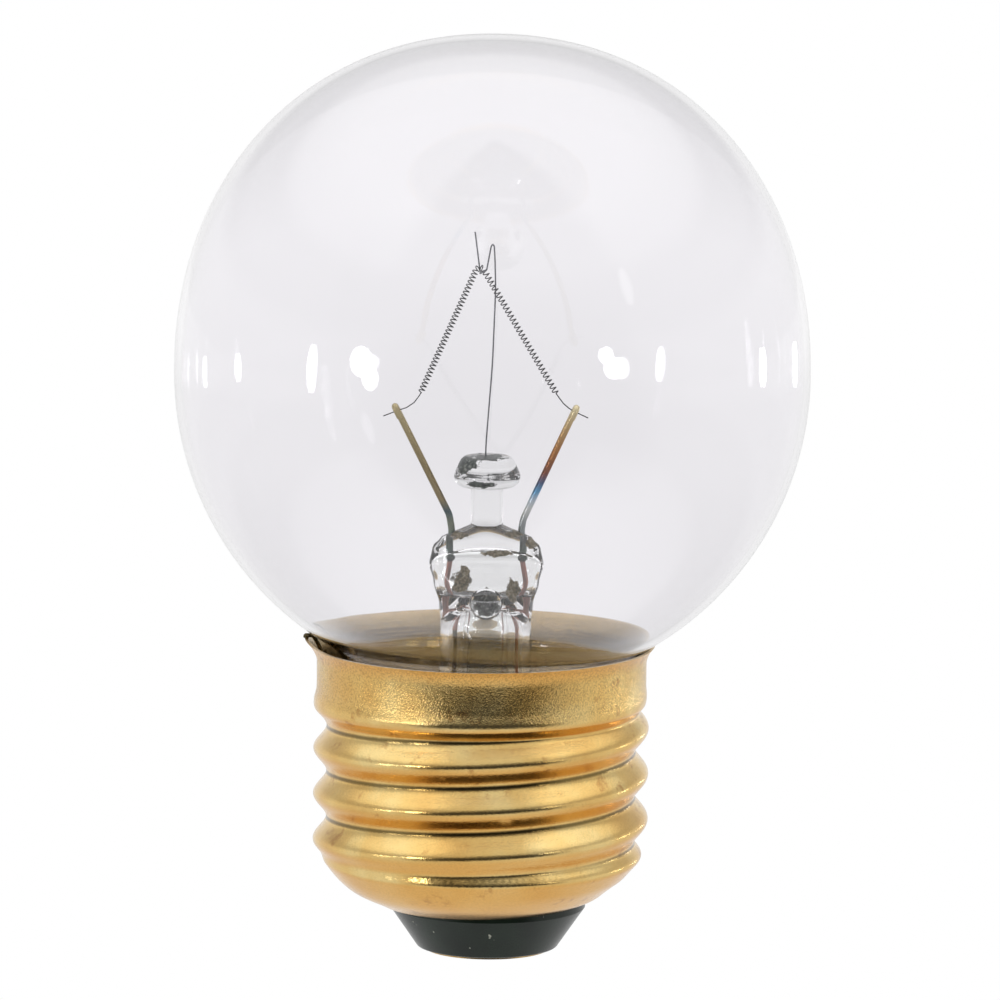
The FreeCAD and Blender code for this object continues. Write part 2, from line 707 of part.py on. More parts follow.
def build():
    leads = {side: make_inner_lead(side) for side in side_sign}
    seals = {side: make_seal_wire(side) for side in side_sign}
    centre_lead, side_lead = make_outer_lead_centre(), make_outer_lead_side()
    support = make_support_wire()
    nodes = {
        "glass_envelope": make_glass_envelope(),
        "glass_stem": make_glass_stem(list(leads.values()) + list(seals.values())),
        "exhaust_tube": make_exhaust_tube(),
        "arbor_rod": make_arbor_rod(support),
        "support_wire": support,
        "filament": make_filament(),
        "outer_lead_centre": centre_lead,
        "outer_lead_side": side_lead,
        "screw_shell": make_screw_shell(),
        "base_insulator": make_base_insulator(),
        "contact_eyelet": make_contact_eyelet(),
        "centre_solder": make_centre_solder(centre_lead),
        "side_solder": make_side_solder(side_lead),
        "basing_cement": make_basing_cement(side_lead),
    }
    for side in side_sign:
        nodes["inner_lead_" + side] = leads[side]
        nodes["seal_wire_" + side] = seals[side]
    return nodes


os.makedirs("parts", exist_ok=True)
for name, solid in build().items():
    solid.exportStep("parts/" + name + ".step")
    print(name, solid.isValid(), len(solid.Solids), round(solid.Volume, 3))
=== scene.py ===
import math
import bmesh
import bpy
from mathutils import Matrix, Vector


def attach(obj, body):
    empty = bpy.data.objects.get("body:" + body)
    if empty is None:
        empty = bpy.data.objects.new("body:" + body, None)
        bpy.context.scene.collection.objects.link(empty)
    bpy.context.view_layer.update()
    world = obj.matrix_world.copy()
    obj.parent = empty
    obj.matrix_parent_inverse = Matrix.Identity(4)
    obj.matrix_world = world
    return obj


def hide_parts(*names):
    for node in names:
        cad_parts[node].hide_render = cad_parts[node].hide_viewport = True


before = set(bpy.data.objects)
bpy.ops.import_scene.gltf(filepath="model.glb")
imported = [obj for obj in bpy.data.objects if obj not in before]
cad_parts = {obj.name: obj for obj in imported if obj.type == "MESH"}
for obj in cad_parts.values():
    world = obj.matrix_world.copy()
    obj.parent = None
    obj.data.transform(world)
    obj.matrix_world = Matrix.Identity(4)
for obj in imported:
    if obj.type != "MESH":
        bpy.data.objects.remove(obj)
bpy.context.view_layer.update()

# Clear globe lamp on its screw cap. Lengths are in millimetres, and MM turns them into metres.
MM = 0.001

# The globe and its neck, as in the CAD part
EQUATOR_LEVEL = 46.24
GLOBE_RADIUS = 24.95
CROWN_HEIGHT = 26.49
CROWN_POWER = 2.13
GLASS_WALL = 0.55
NECK_RADIUS = 11.08
NECK_FILLET = 4.0
INNER_NECK = 10.53
SEAL_LEVEL = 13.89

# The glass stem: flare tube, press, cane and button, then the exhaust tube and its blown hole
STEM_SHIFT = -0.33
TUBE_RADIUS = 3.6
TUBE_BORE = 2.9
TUBE_TOP = 26.39
FLARE_WALL = 0.7
FLARE_BEND = 5.5
PRESS_TOP = 33.79
CANE_RADIUS = 1.27
BUTTON_BASE = 37.14
BUTTON_TOP = 39.59
EXHAUST_RADIUS = 1.8
EXHAUST_BORE = 1.27
EXHAUST_TOP = TUBE_TOP + 1.8
EXHAUST_TIP = SEAL_LEVEL - 3.4
HOLE_RADIUS = 1.15
HOLE_STRETCH = (1.06, 1.0, 0.94)
HOLE_DEPTH = 6.0
HOLE_FRONT = -3.4

# Half width and half thickness of the pinched press at shares of its height
PRESS_WIDTH = [(0.0, 3.6), (0.2, 3.72), (0.42, 4.16), (0.62, 4.5), (0.8, 4.26), (0.92, 3.52), (1.0, 2.05)]
PRESS_DEPTH = [(0.0, 3.6), (0.2, 3.1), (0.42, 2.2), (0.62, 1.65), (0.8, 1.57), (0.92, 1.45), (1.0, 1.27)]

# The same for the flat hollow that stays open inside it, then the shares where its floor and its brow lie,
# the sag of the floor and the rise of the domed roof
HOLLOW_WIDTH = [(0.0, 2.9), (0.2, 3.1), (0.42, 3.7), (0.62, 4.1)]
HOLLOW_DEPTH = [(0.0, 2.9), (0.2, 2.42), (0.42, 1.5), (0.62, 0.92)]
HOLLOW_FLOOR = 0.31
HOLLOW_BROW = 0.62
HOLLOW_SAG = 0.5
HOLLOW_DOME = 1.35

# Steps round the turned glass
GLOBE_STEPS = 192
STEM_STEPS = 96
EXHAUST_STEPS = 64
PRESS_STEPS = 24

# The cap's axis stands a little to the left of the glass's. Its plain skirt begins between the first two
# levels and its turns between the next two, and the valleys between these radii are darkened with painted shade
# and dirt.
SHELL_SHIFT = -0.62
SKIRT_LEVELS = (20.2, 21.0)
FIRST_TURN_LEVELS = (8.0, 9.0)
VALLEY_SHADE_AND_DIRT_RADII = (12.21, 12.175)

# The coil's two feet, the corner where its legs would meet, and the tails that the hooks hold, which come
# forward as they drop. STATIONS points make one turn.
COIL_FEET = {"left": (-5.61, 44.55), "right": (5.07, 44.55)}
COIL_CORNER = (-1.1, 54.92)
COIL_BEND = 0.35
COIL_PITCH = {"left": 0.305, "right": 0.347}
COIL_RADIUS = 0.235
WIRE_RADIUS = 0.045
TAILS = {"left": ((-8.52, 42.75), (-7.46, 43.22), (-7.05, 43.28), (-6.35, 43.58), (-5.89, 44.05)),
         "right": ((7.53, 42.75), (6.47, 43.22), (6.25, 43.36), (5.77, 43.65), (5.38, 44.08))}
TAIL_FORWARD = 0.32
TAIL_DROP = 1.33
STATIONS = 12

# Ragged stains in the stem glass, from the wires melted into it, those in the press partly painted reflections of
# the leads: place and reach on each axis
BUTTON_STAINS = (((-1.9, -0.9, 39.1), (1.0, 1.5, 0.75)), ((-0.4, -0.6, 39.75), (1.75, 1.7, 0.34)),
                 ((-0.75, -2.2, 37.7), (1.2, 0.8, 0.28)), ((-0.33, 0.9, 27.5), (1.3, 1.3, 0.95)))
PRESS_STAINS_AND_REFLECTIONS = (((-2.3, -0.2, 33.4), (0.85, 1.6, 0.28)), ((1.8, -0.2, 33.5), (0.8, 1.6, 0.26)),
                ((3.2, -0.2, 32.8), (0.6, 1.3, 0.4)), ((0.55, -1.5, 32.1), (1.35, 0.7, 0.26)),
                ((-2.3, -1.9, 29.9), (0.75, 1.2, 0.75)), ((-2.0, -1.9, 30.7), (0.4, 1.2, 0.45)),
                ((1.75, -2.0, 29.2), (0.55, 1.2, 0.8)))

# Oxide tints along the wires from their lower end up: share of the height and colour
LEFT_LEAD_TINTS = ((0.0, "#5A6A66"), (0.2, "#6F7565"), (0.28, "#3F5257"), (0.36, "#8A7A55"), (0.7, "#9C8C66"),
                   (1.0, "#B6A880"))
RIGHT_LEAD_TINTS = ((0.0, "#66706A"), (0.2, "#8E9494"), (0.3, "#C8CBC8"), (0.36, "#B4C2CC"), (0.42, "#5C9AC2"),
                    (0.48, "#52607E"), (0.55, "#83503F"), (0.7, "#A87444"), (0.85, "#BFA070"), (1.0, "#DCCFA6"))
SEAL_TINTS = ((0.0, "#A8786A"), (0.5, "#B58578"), (0.8, "#A27064"), (0.84, "#3C463F"), (1.0, "#4A544C"))
SIDE_LEAD_TINTS = ((0.0, "#A86A48"), (0.9, "#6B5530"), (1.0, "#4A4028"))
CENTRE_LEAD_TINTS = ((0.0, "#B87350"), (1.0, "#A86A48"))
SUPPORT_TINTS = ((0.0, "#6B6C70"), (1.0, "#7C7D82"))
TUNGSTEN_TINTS = ((0.0, "#4A4A4C"), (1.0, "#5A5A5C"))

# Camera of the photograph: a long lens from a little above the globe's middle
CAMERA_ELEVATION = 9.4
CAMERA_ROLL = 0.57
CAMERA_DISTANCE = 950.0
CAMERA_AIM = (0.69, 0.0, 36.1)
LENS = 435.7
SENSOR_WIDTH = 36.0

# The way to the dim side of the studio, round the camera; the dim part is low and wide
DIM_SIDE = (0.095, -0.995, 0.0)
DIM_SLOPE = -0.165
DIM_FLATNESS = 1.9
# Brightness of the studio from the side behind the lamp (0) round to the dim side (1)
WALL_TONES = ((0.0, 0.885), (0.6, 0.84), (0.76, 0.76), (0.82, 0.42), (0.88, 0.13), (0.94, 0.06))
# Brightness from straight down (0) to overhead (1), and the darker band where the walls meet the ceiling
CEILING_TONES = ((0.5, 0.0), (0.72, 0.86), (0.9, 1.35))
BAND_TONES = ((0.56, 1.0), (0.62, 0.74), (0.73, 0.74), (0.78, 1.0))
# Over the camera the ceiling is half as bright, between these cosines of the angle to the dim side
FRONT_CEILING = {"From Min": 0.62, "From Max": 0.85, "To Min": 1.0, "To Max": 0.5}
# The least that clear glass lets through of the dim side, so that it isn't smoky from behind
DIM_THROUGH_GLASS = (0.7, 0.7, 0.7, 1.0)

# The floor's level and half width. Its tone right under the lamp, as brass and then as glass shows it, ends
# over a ring, and far out the floor brightens a little. The ring and the far part are in metres.
FLOOR_LEVEL = -150.0
FLOOR_HALF_WIDTH = 3000.0
NEAR_FLOOR = "#E6E6E6"
NEAR_FLOOR_IN_GLASS = "#C0C0C0"
FLOOR_RING = {"From Min": 0.2, "From Max": 0.46}
FLOOR_LIFT = {"From Min": 1.2, "From Max": 1.6, "To Min": 1.0, "To Max": 1.08}

# Windows and strips, found from the highlights on the globe: bearing and elevation in degrees from the
# camera's side, width, height and radiance
LAMPS = {"window_left": (-47.6, 4.0, 88, 84, 8),
         "window_left_low": (-43.9, 0.0, 62, 64, 8),
         "strip_left": (-67.4, 0.3, 38, 118, 8),
         "strip_right": (113.7, -4.0, 34, 62, 9),
         "strip_right_far": (141.2, -6.5, 30, 42, 9),
         "soft_right": (54, 25, 44, 120, 0.8),
         "window_right": (47.0, 3.0, 56, 60, 5)}
LAMP_DISTANCE = 600.0


def linear(colour):
    """The linear RGBA of an sRGB hex colour."""
    parts = [int(colour[k:k + 2], 16) / 255 for k in (1, 3, 5)]
    return [p / 12.92 if p <= 0.04045 else ((p + 0.055) / 1.055) ** 2.4 for p in parts] + [1.0]


def add(tree, kind, inputs=None, stops=(), **settings):
    """A node with its settings and links. An input is a value, a colour or the socket that feeds it, and the
    stops of a colour ramp are pairs of a place and a hex colour or grey."""
    node = tree.nodes.new(kind)
    for name, value in settings.items():
        setattr(node, name, value)
    for name, value in (inputs or {}).items():
        if isinstance(value, bpy.types.NodeSocket):
            tree.links.new(value, node.inputs[name])
        else:
            node.inputs[name].default_value = value
    for _ in stops[2:]:
        node.color_ramp.elements.new(0.5)
    for k, (place, colour) in enumerate(stops):
        element = node.color_ramp.elements[k]
        element.position = place
        element.color = linear(colour) if isinstance(colour, str) else (colour, colour, colour, 1.0)
    return node


def new_material(name):
    """An empty Principled material, with its tree and shader."""
    material = bpy.data.materials.new(name)
    material.use_nodes = True
    tree = material.node_tree
    tree.nodes.clear()
    shader = add(tree, "ShaderNodeBsdfPrincipled")
    add(tree, "ShaderNodeOutputMaterial", {"Surface": shader.outputs[0]})
    return material, tree, shader


def object_place(tree, scale=(1.0, 1.0, 1.0), shift=(0.0, 0.0, 0.0)):
    """Object coordinates in millimetres, so that a pattern of scale 2 has features of half a millimetre."""
    place = add(tree, "ShaderNodeTexCoord").outputs["Object"]
    size = [1000.0 * s for s in scale]
    return add(tree, "ShaderNodeMapping", {"Vector": place, "Scale": size, "Location": shift}).outputs[0]


def globe_glass_material(name):
    """Soda-lime glass, blown in a mould: clear with a faint cold tint and no roughness, so that only its edge,
    its highlights and what it mirrors show. Its skin has shallow waves about 20 mm long."""
    material, tree, shader = new_material(name)
    wave = add(tree, "ShaderNodeTexNoise", {"Vector": object_place(tree), "Scale": 0.05, "Detail": 1.0})
    bump = add(tree, "ShaderNodeBump", {"Height": wave.outputs[0], "Strength": 0.02, "Distance": 0.1 * MM})
    tree.links.new(bump.outputs[0], shader.inputs["Normal"])
    shader.inputs["Base Color"].default_value = linear("#FCFBFD")
    shader.inputs["Transmission Weight"].default_value = 1.0
    shader.inputs["Roughness"].default_value = 0.0
    shader.inputs["IOR"].default_value = 1.5
    return material


def stained(tree, place, ragged, spots):
    """1 inside the ragged spots and 0 outside them."""
    total = None
    for centre, reach in spots:
        moved = add(tree, "ShaderNodeMapping", {"Vector": place, "Scale": [1 / r for r in reach],
                                                "Location": [-c / r for c, r in zip(centre, reach)]})
        away = add(tree, "ShaderNodeVectorMath", {0: moved.outputs[0]}, operation="LENGTH").outputs["Value"]
        torn = add(tree, "ShaderNodeMath", {0: away, 1: ragged}, operation="ADD").outputs[0]
        spot = add(tree, "ShaderNodeMapRange", {"Value": torn, "From Min": 1.12, "From Max": 0.98}).outputs[0]
        if total is None:
            total = spot
        else:
            total = add(tree, "ShaderNodeMath", {0: total, 1: spot}, operation="MAXIMUM").outputs[0]
    return total


def stem_glass_material(name):
    """Lead glass, drawn as tube and cane and melted together in a flame: clear and bright, with soft waves
    about 2 mm long that break up what it shows. Grey-green oxide sits on the button and in the blown hole, and in
    the press olive marks that are partly scale and partly painted reflection of the leads, all in ragged spots
    with grains of 0.2 to 0.6 mm."""
    material, tree, shader = new_material(name)
    place = object_place(tree)
    torn = add(tree, "ShaderNodeTexNoise", {"Vector": place, "Scale": 1.6, "Detail": 4.0, "Roughness": 0.6})
    ragged = add(tree, "ShaderNodeMapRange", {"Value": torn.outputs[0], "From Min": 0.3, "From Max": 0.7,
                                              "To Min": -0.35, "To Max": 0.45}).outputs[0]
    specks = add(tree, "ShaderNodeTexNoise", {"Vector": place, "Scale": 4.5, "Detail": 3.0}).outputs[0]
    sooty = add(tree, "ShaderNodeValToRGB", {"Fac": specks},
                stops=((0.35, "#1F2823"), (0.55, "#3B453E"), (0.7, "#8C9088"))).outputs["Color"]
    olive = add(tree, "ShaderNodeValToRGB", {"Fac": specks},
                stops=((0.35, "#4E4830"), (0.5, "#77694A"), (0.68, "#A89E84"))).outputs["Color"]
    on_button = stained(tree, place, ragged, BUTTON_STAINS)
    # the press spots are olive scale and partly painted reflection of the leads
    press_stains_and_reflections = stained(tree, place, ragged, PRESS_STAINS_AND_REFLECTIONS)
    press_marked_tint = add(tree, "ShaderNodeMix", {"Factor": press_stains_and_reflections, "A": linear("#FAFBFA"), "B": olive},
                 data_type="RGBA")
    tint = add(tree, "ShaderNodeMix", {"Factor": on_button, "A": press_marked_tint.outputs["Result"], "B": sooty},
               data_type="RGBA")
    tree.links.new(tint.outputs["Result"], shader.inputs["Base Color"])
    either = add(tree, "ShaderNodeMath", {0: on_button, 1: press_stains_and_reflections}, operation="MAXIMUM")
    clear = add(tree, "ShaderNodeMapRange", {"Value": either.outputs[0], "To Min": 1.0, "To Max": 0.12})
    tree.links.new(clear.outputs[0], shader.inputs["Transmission Weight"])
    rough = add(tree, "ShaderNodeMapRange", {"Value": either.outputs[0], "To Min": 0.0, "To Max": 0.35})
    tree.links.new(rough.outputs[0], shader.inputs["Roughness"])
    wave = add(tree, "ShaderNodeTexNoise", {"Vector": place, "Scale": 0.5, "Detail": 1.0})
    bump = add(tree, "ShaderNodeBump", {"Height": wave.outputs[0], "Strength": 0.25, "Distance": 0.2 * MM})
    tree.links.new(bump.outputs[0], shader.inputs["Normal"])
    shader.inputs["IOR"].default_value = 1.55
    return material


def brass_material(name):
    """Cartridge brass, pressed from sheet and rolled, under thin old lacquer: bright gold, with a painted orange
    reflection on the faces that look down under each turn and under the rim, brown stains, painted shade and dirt
    darkening the valleys, and a grain on the plain skirt that glitters. Clouds are about 5 mm wide and stains 2
    mm. Rolling lines and grain are finer than 0.05 mm in real sheet, and are drawn as 0.14 mm so that they show."""
    material, tree, shader = new_material(name)
    place = object_place(tree, shift=(-SHELL_SHIFT, 0.0, 0.0))
    height = add(tree, "ShaderNodeSeparateXYZ", {0: place}).outputs["Z"]
    flat = add(tree, "ShaderNodeVectorMath", {0: place, 1: (1.0, 1.0, 0.0)}, operation="MULTIPLY")
    radius = add(tree, "ShaderNodeVectorMath", {0: flat.outputs[0]}, operation="LENGTH").outputs["Value"]
    facing = add(tree, "ShaderNodeTexCoord").outputs["Normal"]
    slope = add(tree, "ShaderNodeSeparateXYZ", {0: facing}).outputs["Z"]
    outward = add(tree, "ShaderNodeVectorMath", {0: facing, 1: flat.outputs[0]}, operation="DOT_PRODUCT")
    inside = add(tree, "ShaderNodeMapRange", {"Value": outward.outputs["Value"], "From Min": 1.0,
                                              "From Max": -1.0})

    # gold, painted orange reflection on the faces that look down under the turns, stains, painted shade and dirt
    # in the valleys, and duller bare metal on the inner side
    cloud = add(tree, "ShaderNodeTexNoise", {"Vector": place, "Scale": 0.2, "Detail": 3.0})
    gold = add(tree, "ShaderNodeValToRGB", {"Fac": cloud.outputs[0]},
               stops=((0.3, "#DFB46A"), (0.5, "#E8C37A"), (0.7, "#EFD391"))).outputs["Color"]
    # painted reflection: faces that look down are turned orange, as a second bounce of light would colour them
    under = add(tree, "ShaderNodeMapRange", {"Value": slope, "From Min": -0.12, "From Max": -0.55,
                                             "To Max": 0.6})
    gold_with_painted_bounce = add(tree, "ShaderNodeMix", {"Factor": under.outputs[0], "A": gold, "B": linear("#EBAC57")},
               data_type="RGBA")
    stain = add(tree, "ShaderNodeTexNoise", {"Vector": place, "Scale": 0.45, "Detail": 5.0, "Roughness": 0.65})
    tarnish = add(tree, "ShaderNodeValToRGB", {"Fac": stain.outputs[0]},
                  stops=((0.6, 0.0), (0.7, 0.6))).outputs["Color"]
    aged = add(tree, "ShaderNodeMix", {"Factor": tarnish, "A": gold_with_painted_bounce.outputs["Result"], "B": linear("#B07C45")},
               data_type="RGBA")
    # painted shade and dirt: the bottoms of the valleys between the turns are darkened
    depth = add(tree, "ShaderNodeMapRange", {"Value": radius, "From Min": VALLEY_SHADE_AND_DIRT_RADII[0],
                                             "From Max": VALLEY_SHADE_AND_DIRT_RADII[1], "To Max": 0.8})
    turns = add(tree, "ShaderNodeMapRange", {"Value": height, "From Min": FIRST_TURN_LEVELS[0],
                                             "From Max": FIRST_TURN_LEVELS[1]})
    valley_shade_and_dirt = add(tree, "ShaderNodeMath", {0: depth.outputs[0], 1: turns.outputs[0]}, operation="MULTIPLY")
    gold_with_valley_shade = add(tree, "ShaderNodeMix", {"Factor": valley_shade_and_dirt.outputs[0], "A": aged.outputs["Result"],
                                        "B": linear("#4A3A1A")}, data_type="RGBA")
    dull = add(tree, "ShaderNodeMix", {"Factor": inside.outputs[0], "A": gold_with_valley_shade.outputs["Result"],
                                       "B": linear("#BFA878")}, data_type="RGBA")
    grain = add(tree, "ShaderNodeTexNoise", {"Vector": place, "Scale": 7.0, "Detail": 2.0, "Roughness": 0.7})
    speckle = add(tree, "ShaderNodeValToRGB", {"Fac": grain.outputs[0]},
                  stops=((0.38, 0.72), (0.55, 1.0))).outputs["Color"]
    worn = add(tree, "ShaderNodeMapRange", {"Value": height, "From Min": SKIRT_LEVELS[0],
                                            "From Max": SKIRT_LEVELS[1], "To Min": 0.3})
    grainy = add(tree, "ShaderNodeMix", {"Factor": worn.outputs[0], "A": dull.outputs["Result"], "B": speckle},
                 data_type="RGBA", blend_type="MULTIPLY")
    tree.links.new(grainy.outputs["Result"], shader.inputs["Base Color"])

    # rolling lines round the sheet, strong on its inner side, and the grain over them, strong on the skirt
    rolled = add(tree, "ShaderNodeTexNoise", {"Vector": object_place(tree, (0.25, 0.25, 7.0)), "Scale": 1.0,
                                              "Detail": 3.0})
    skirt = add(tree, "ShaderNodeMapRange", {"Value": height, "From Min": SKIRT_LEVELS[0],
                                             "From Max": SKIRT_LEVELS[1], "To Min": 0.14, "To Max": 0.42})
    drawn = add(tree, "ShaderNodeMapRange", {"Value": inside.outputs[0], "To Min": 0.05, "To Max": 0.6})
    lines = add(tree, "ShaderNodeBump", {"Height": rolled.outputs[0], "Strength": drawn.outputs[0],
                                         "Distance": 0.1 * MM})
    bump = add(tree, "ShaderNodeBump", {"Height": grain.outputs[0], "Strength": skirt.outputs[0],
                                        "Distance": 0.1 * MM, "Normal": lines.outputs[0]})
    tree.links.new(bump.outputs[0], shader.inputs["Normal"])
    fine = add(tree, "ShaderNodeValToRGB", {"Fac": grain.outputs[0]},
               stops=((0.3, 0.08), (0.7, 0.17))).outputs["Color"]
    rough = add(tree, "ShaderNodeMath", {0: skirt.outputs[0], 1: 0.1, 2: fine}, operation="MULTIPLY_ADD")
    tree.links.new(rough.outputs[0], shader.inputs["Roughness"])
    shader.inputs["Metallic"].default_value = 1.0
    shader.inputs["Anisotropic"].default_value = 0.5
    shader.inputs["Anisotropic Rotation"].default_value = 0.25
    return material


def wire_material(name, tints, low, high, roughness):
    """Drawn wire that was heated in the flame: metal with oxide tints that change along its height. Its fine
    scale, under 0.05 mm, is drawn as 0.17 mm so that it breaks up the highlight."""
    material, tree, shader = new_material(name)
    place = object_place(tree)
    height = add(tree, "ShaderNodeSeparateXYZ", {0: place}).outputs["Z"]
    share = add(tree, "ShaderNodeMapRange", {"Value": height, "From Min": low, "From Max": high})
    tint = add(tree, "ShaderNodeValToRGB", {"Fac": share.outputs[0]}, stops=tints).outputs["Color"]
    tree.links.new(tint, shader.inputs["Base Color"])
    scale = add(tree, "ShaderNodeTexNoise", {"Vector": place, "Scale": 6.0, "Detail": 3.0})
    bump = add(tree, "ShaderNodeBump", {"Height": scale.outputs[0], "Strength": 0.15, "Distance": 0.05 * MM})
    tree.links.new(bump.outputs[0], shader.inputs["Normal"])
    shader.inputs["Metallic"].default_value = 1.0
    shader.inputs["Roughness"].default_value = roughness
    return material


def insulator_material(name):
    """Black glass, run into the foot of the cap and pressed: green-black and glossy, with a haze in clouds of
    3 mm, a few pale chips of 0.6 mm and a skin that is uneven over 0.2 mm."""
    material, tree, shader = new_material(name)
    place = object_place(tree)
    haze = add(tree, "ShaderNodeTexNoise", {"Vector": place, "Scale": 0.35, "Detail": 3.0})
    skin = add(tree, "ShaderNodeValToRGB", {"Fac": haze.outputs[0]},
               stops=((0.35, "#101C13"), (0.65, "#1B2A1E"))).outputs["Color"]
    chips = add(tree, "ShaderNodeTexNoise", {"Vector": place, "Scale": 1.7, "Detail": 1.0})
    chipped = add(tree, "ShaderNodeValToRGB", {"Fac": chips.outputs[0]},
                  stops=((0.76, 0.0), (0.79, 1.0))).outputs["Color"]
    tint = add(tree, "ShaderNodeMix", {"Factor": chipped, "A": skin, "B": linear("#B9BBAC")}, data_type="RGBA")
    tree.links.new(tint.outputs["Result"], shader.inputs["Base Color"])
    fine = add(tree, "ShaderNodeTexNoise", {"Vector": place, "Scale": 5.0, "Detail": 3.0})
    bump = add(tree, "ShaderNodeBump", {"Height": fine.outputs[0], "Strength": 0.12, "Distance": 0.1 * MM})
    tree.links.new(bump.outputs[0], shader.inputs["Normal"])
    shader.inputs["Roughness"].default_value = 0.24
    shader.inputs["IOR"].default_value = 1.52
    shader.inputs["Specular IOR Level"].default_value = 0.3
    return material


def mottled_material(name, dark, light, scale, roughness, metallic, bump_share):
    """A surface in two tones whose spots are 1 / scale millimetres wide and stand up a little."""
    material, tree, shader = new_material(name)
    mottle = add(tree, "ShaderNodeTexNoise", {"Vector": object_place(tree), "Scale": scale, "Detail": 4.0})
    tint = add(tree, "ShaderNodeValToRGB", {"Fac": mottle.outputs[0]}, stops=((0.3, dark), (0.7, light)))
    tree.links.new(tint.outputs["Color"], shader.inputs["Base Color"])
    bump = add(tree, "ShaderNodeBump", {"Height": mottle.outputs[0], "Strength": bump_share,
                                        "Distance": 0.2 * MM})
    tree.links.new(bump.outputs[0], shader.inputs["Normal"])
    shader.inputs["Metallic"].default_value = metallic
    shader.inputs["Roughness"].default_value = roughness
    return material


def finished(name, mesh, material, slot, *nodes):
    """A smooth piece that rides on the lamp and stands for its CAD nodes."""
    mesh.shade_smooth()
    piece = bpy.data.objects.new(name, mesh)
    bpy.context.collection.objects.link(piece)
    mesh.materials.clear()
    mesh.materials.append(material)
    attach(piece, "root")
    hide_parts(*nodes)
    return piece


def mesh_of(name, shape):
    """A mesh from a bmesh, which is then freed."""
    mesh = bpy.data.meshes.new(name)
    shape.to_mesh(mesh)
    shape.free()
    return mesh


def loose(name, shape):
    """A plain object that holds a shape while it is cut or joined."""
    holder = bpy.data.objects.new(name, mesh_of(name, shape))
    bpy.context.collection.objects.link(holder)
    return holder


def turned(outline, segments, axis_x):
    """A turned shape from the (radius, level) points of its outline, closed where they reach the axis."""
    shape = bmesh.new()
    verts = [shape.verts.new(((axis_x + r) * MM, 0.0, z * MM)) for r, z in outline]
    edges = [shape.edges.new(pair) for pair in zip(verts, verts[1:])]
    bmesh.ops.spin(shape, geom=verts + edges, cent=(axis_x * MM, 0, 0), axis=(0, 0, 1),
                   angle=math.tau, steps=segments, use_merge=True)
    bmesh.ops.remove_doubles(shape, verts=shape.verts[:], dist=0.0005 * MM)
    bmesh.ops.recalc_face_normals(shape, faces=shape.faces[:])
    return shape


def arc_points(centre, radius, start, end, count):
    """Points of an arc, angles in degrees from +X."""
    steps = [math.radians(start + (end - start) * k / count) for k in range(count + 1)]
    return [(centre[0] + radius * math.cos(a), centre[1] + radius * math.sin(a)) for a in steps]


def between(pairs, place):
    """The value at a place on a line of (place, value) pairs, smooth between them."""
    for (a, low), (b, high) in zip(pairs, pairs[1:]):
        if place <= b:
            share = max(0.0, (place - a) / (b - a))
            share = share * share * (3 - 2 * share)
            return low + (high - low) * share
    return pairs[-1][1]


def with_boolean(target, tool, operation):
    """Cuts or joins one solid piece with another and drops the tool."""
    cut = target.modifiers.new(operation, "BOOLEAN")
    cut.operation, cut.object, cut.solver = operation, tool, "EXACT"
    depsgraph = bpy.context.evaluated_depsgraph_get()
    mesh = bpy.data.meshes.new_from_object(target.evaluated_get(depsgraph))
    target.modifiers.clear()
    target.data = mesh
    bpy.data.objects.remove(tool)


def globe_skin(inset):
    """One skin of the globe from its top to the neck's end: crown, lower half, fillet and neck."""
    radius, crown, power = GLOBE_RADIUS - inset, CROWN_HEIGHT - inset, 2.0 / CROWN_POWER
    points = []
    for k in range(36):
        angle = math.radians(2.5 * k)
        points.append((radius * math.sin(angle) ** power, EQUATOR_LEVEL + crown * math.cos(angle) ** power))
    reach = NECK_RADIUS + NECK_FILLET
    drop = math.sqrt((GLOBE_RADIUS + NECK_FILLET) ** 2 - reach ** 2)
    tangent = math.degrees(math.atan2(drop, reach))
    points += arc_points((0, EQUATOR_LEVEL), radius, 0, -tangent, 28)
    fillet = arc_points((reach, EQUATOR_LEVEL - drop), NECK_FILLET + inset, 180 - tangent, 180, 10)
    neck = [(NECK_RADIUS - inset, SEAL_LEVEL + 6), (NECK_RADIUS - inset, SEAL_LEVEL + 0.25)]
    return points + fillet[1:] + neck


def make_globe(material):
    """The blown globe and its neck, one wall of glass with a fire-rounded end."""
    end = [(NECK_RADIUS - 0.08, SEAL_LEVEL + 0.07), (NECK_RADIUS - 0.25, SEAL_LEVEL), (INNER_NECK, SEAL_LEVEL)]
    wall = turned(globe_skin(0.0) + end + globe_skin(GLASS_WALL)[::-1], GLOBE_STEPS, 0.0)
    return finished("blown_globe", mesh_of("blown_globe", wall), material, "clear_glass", "glass_envelope")


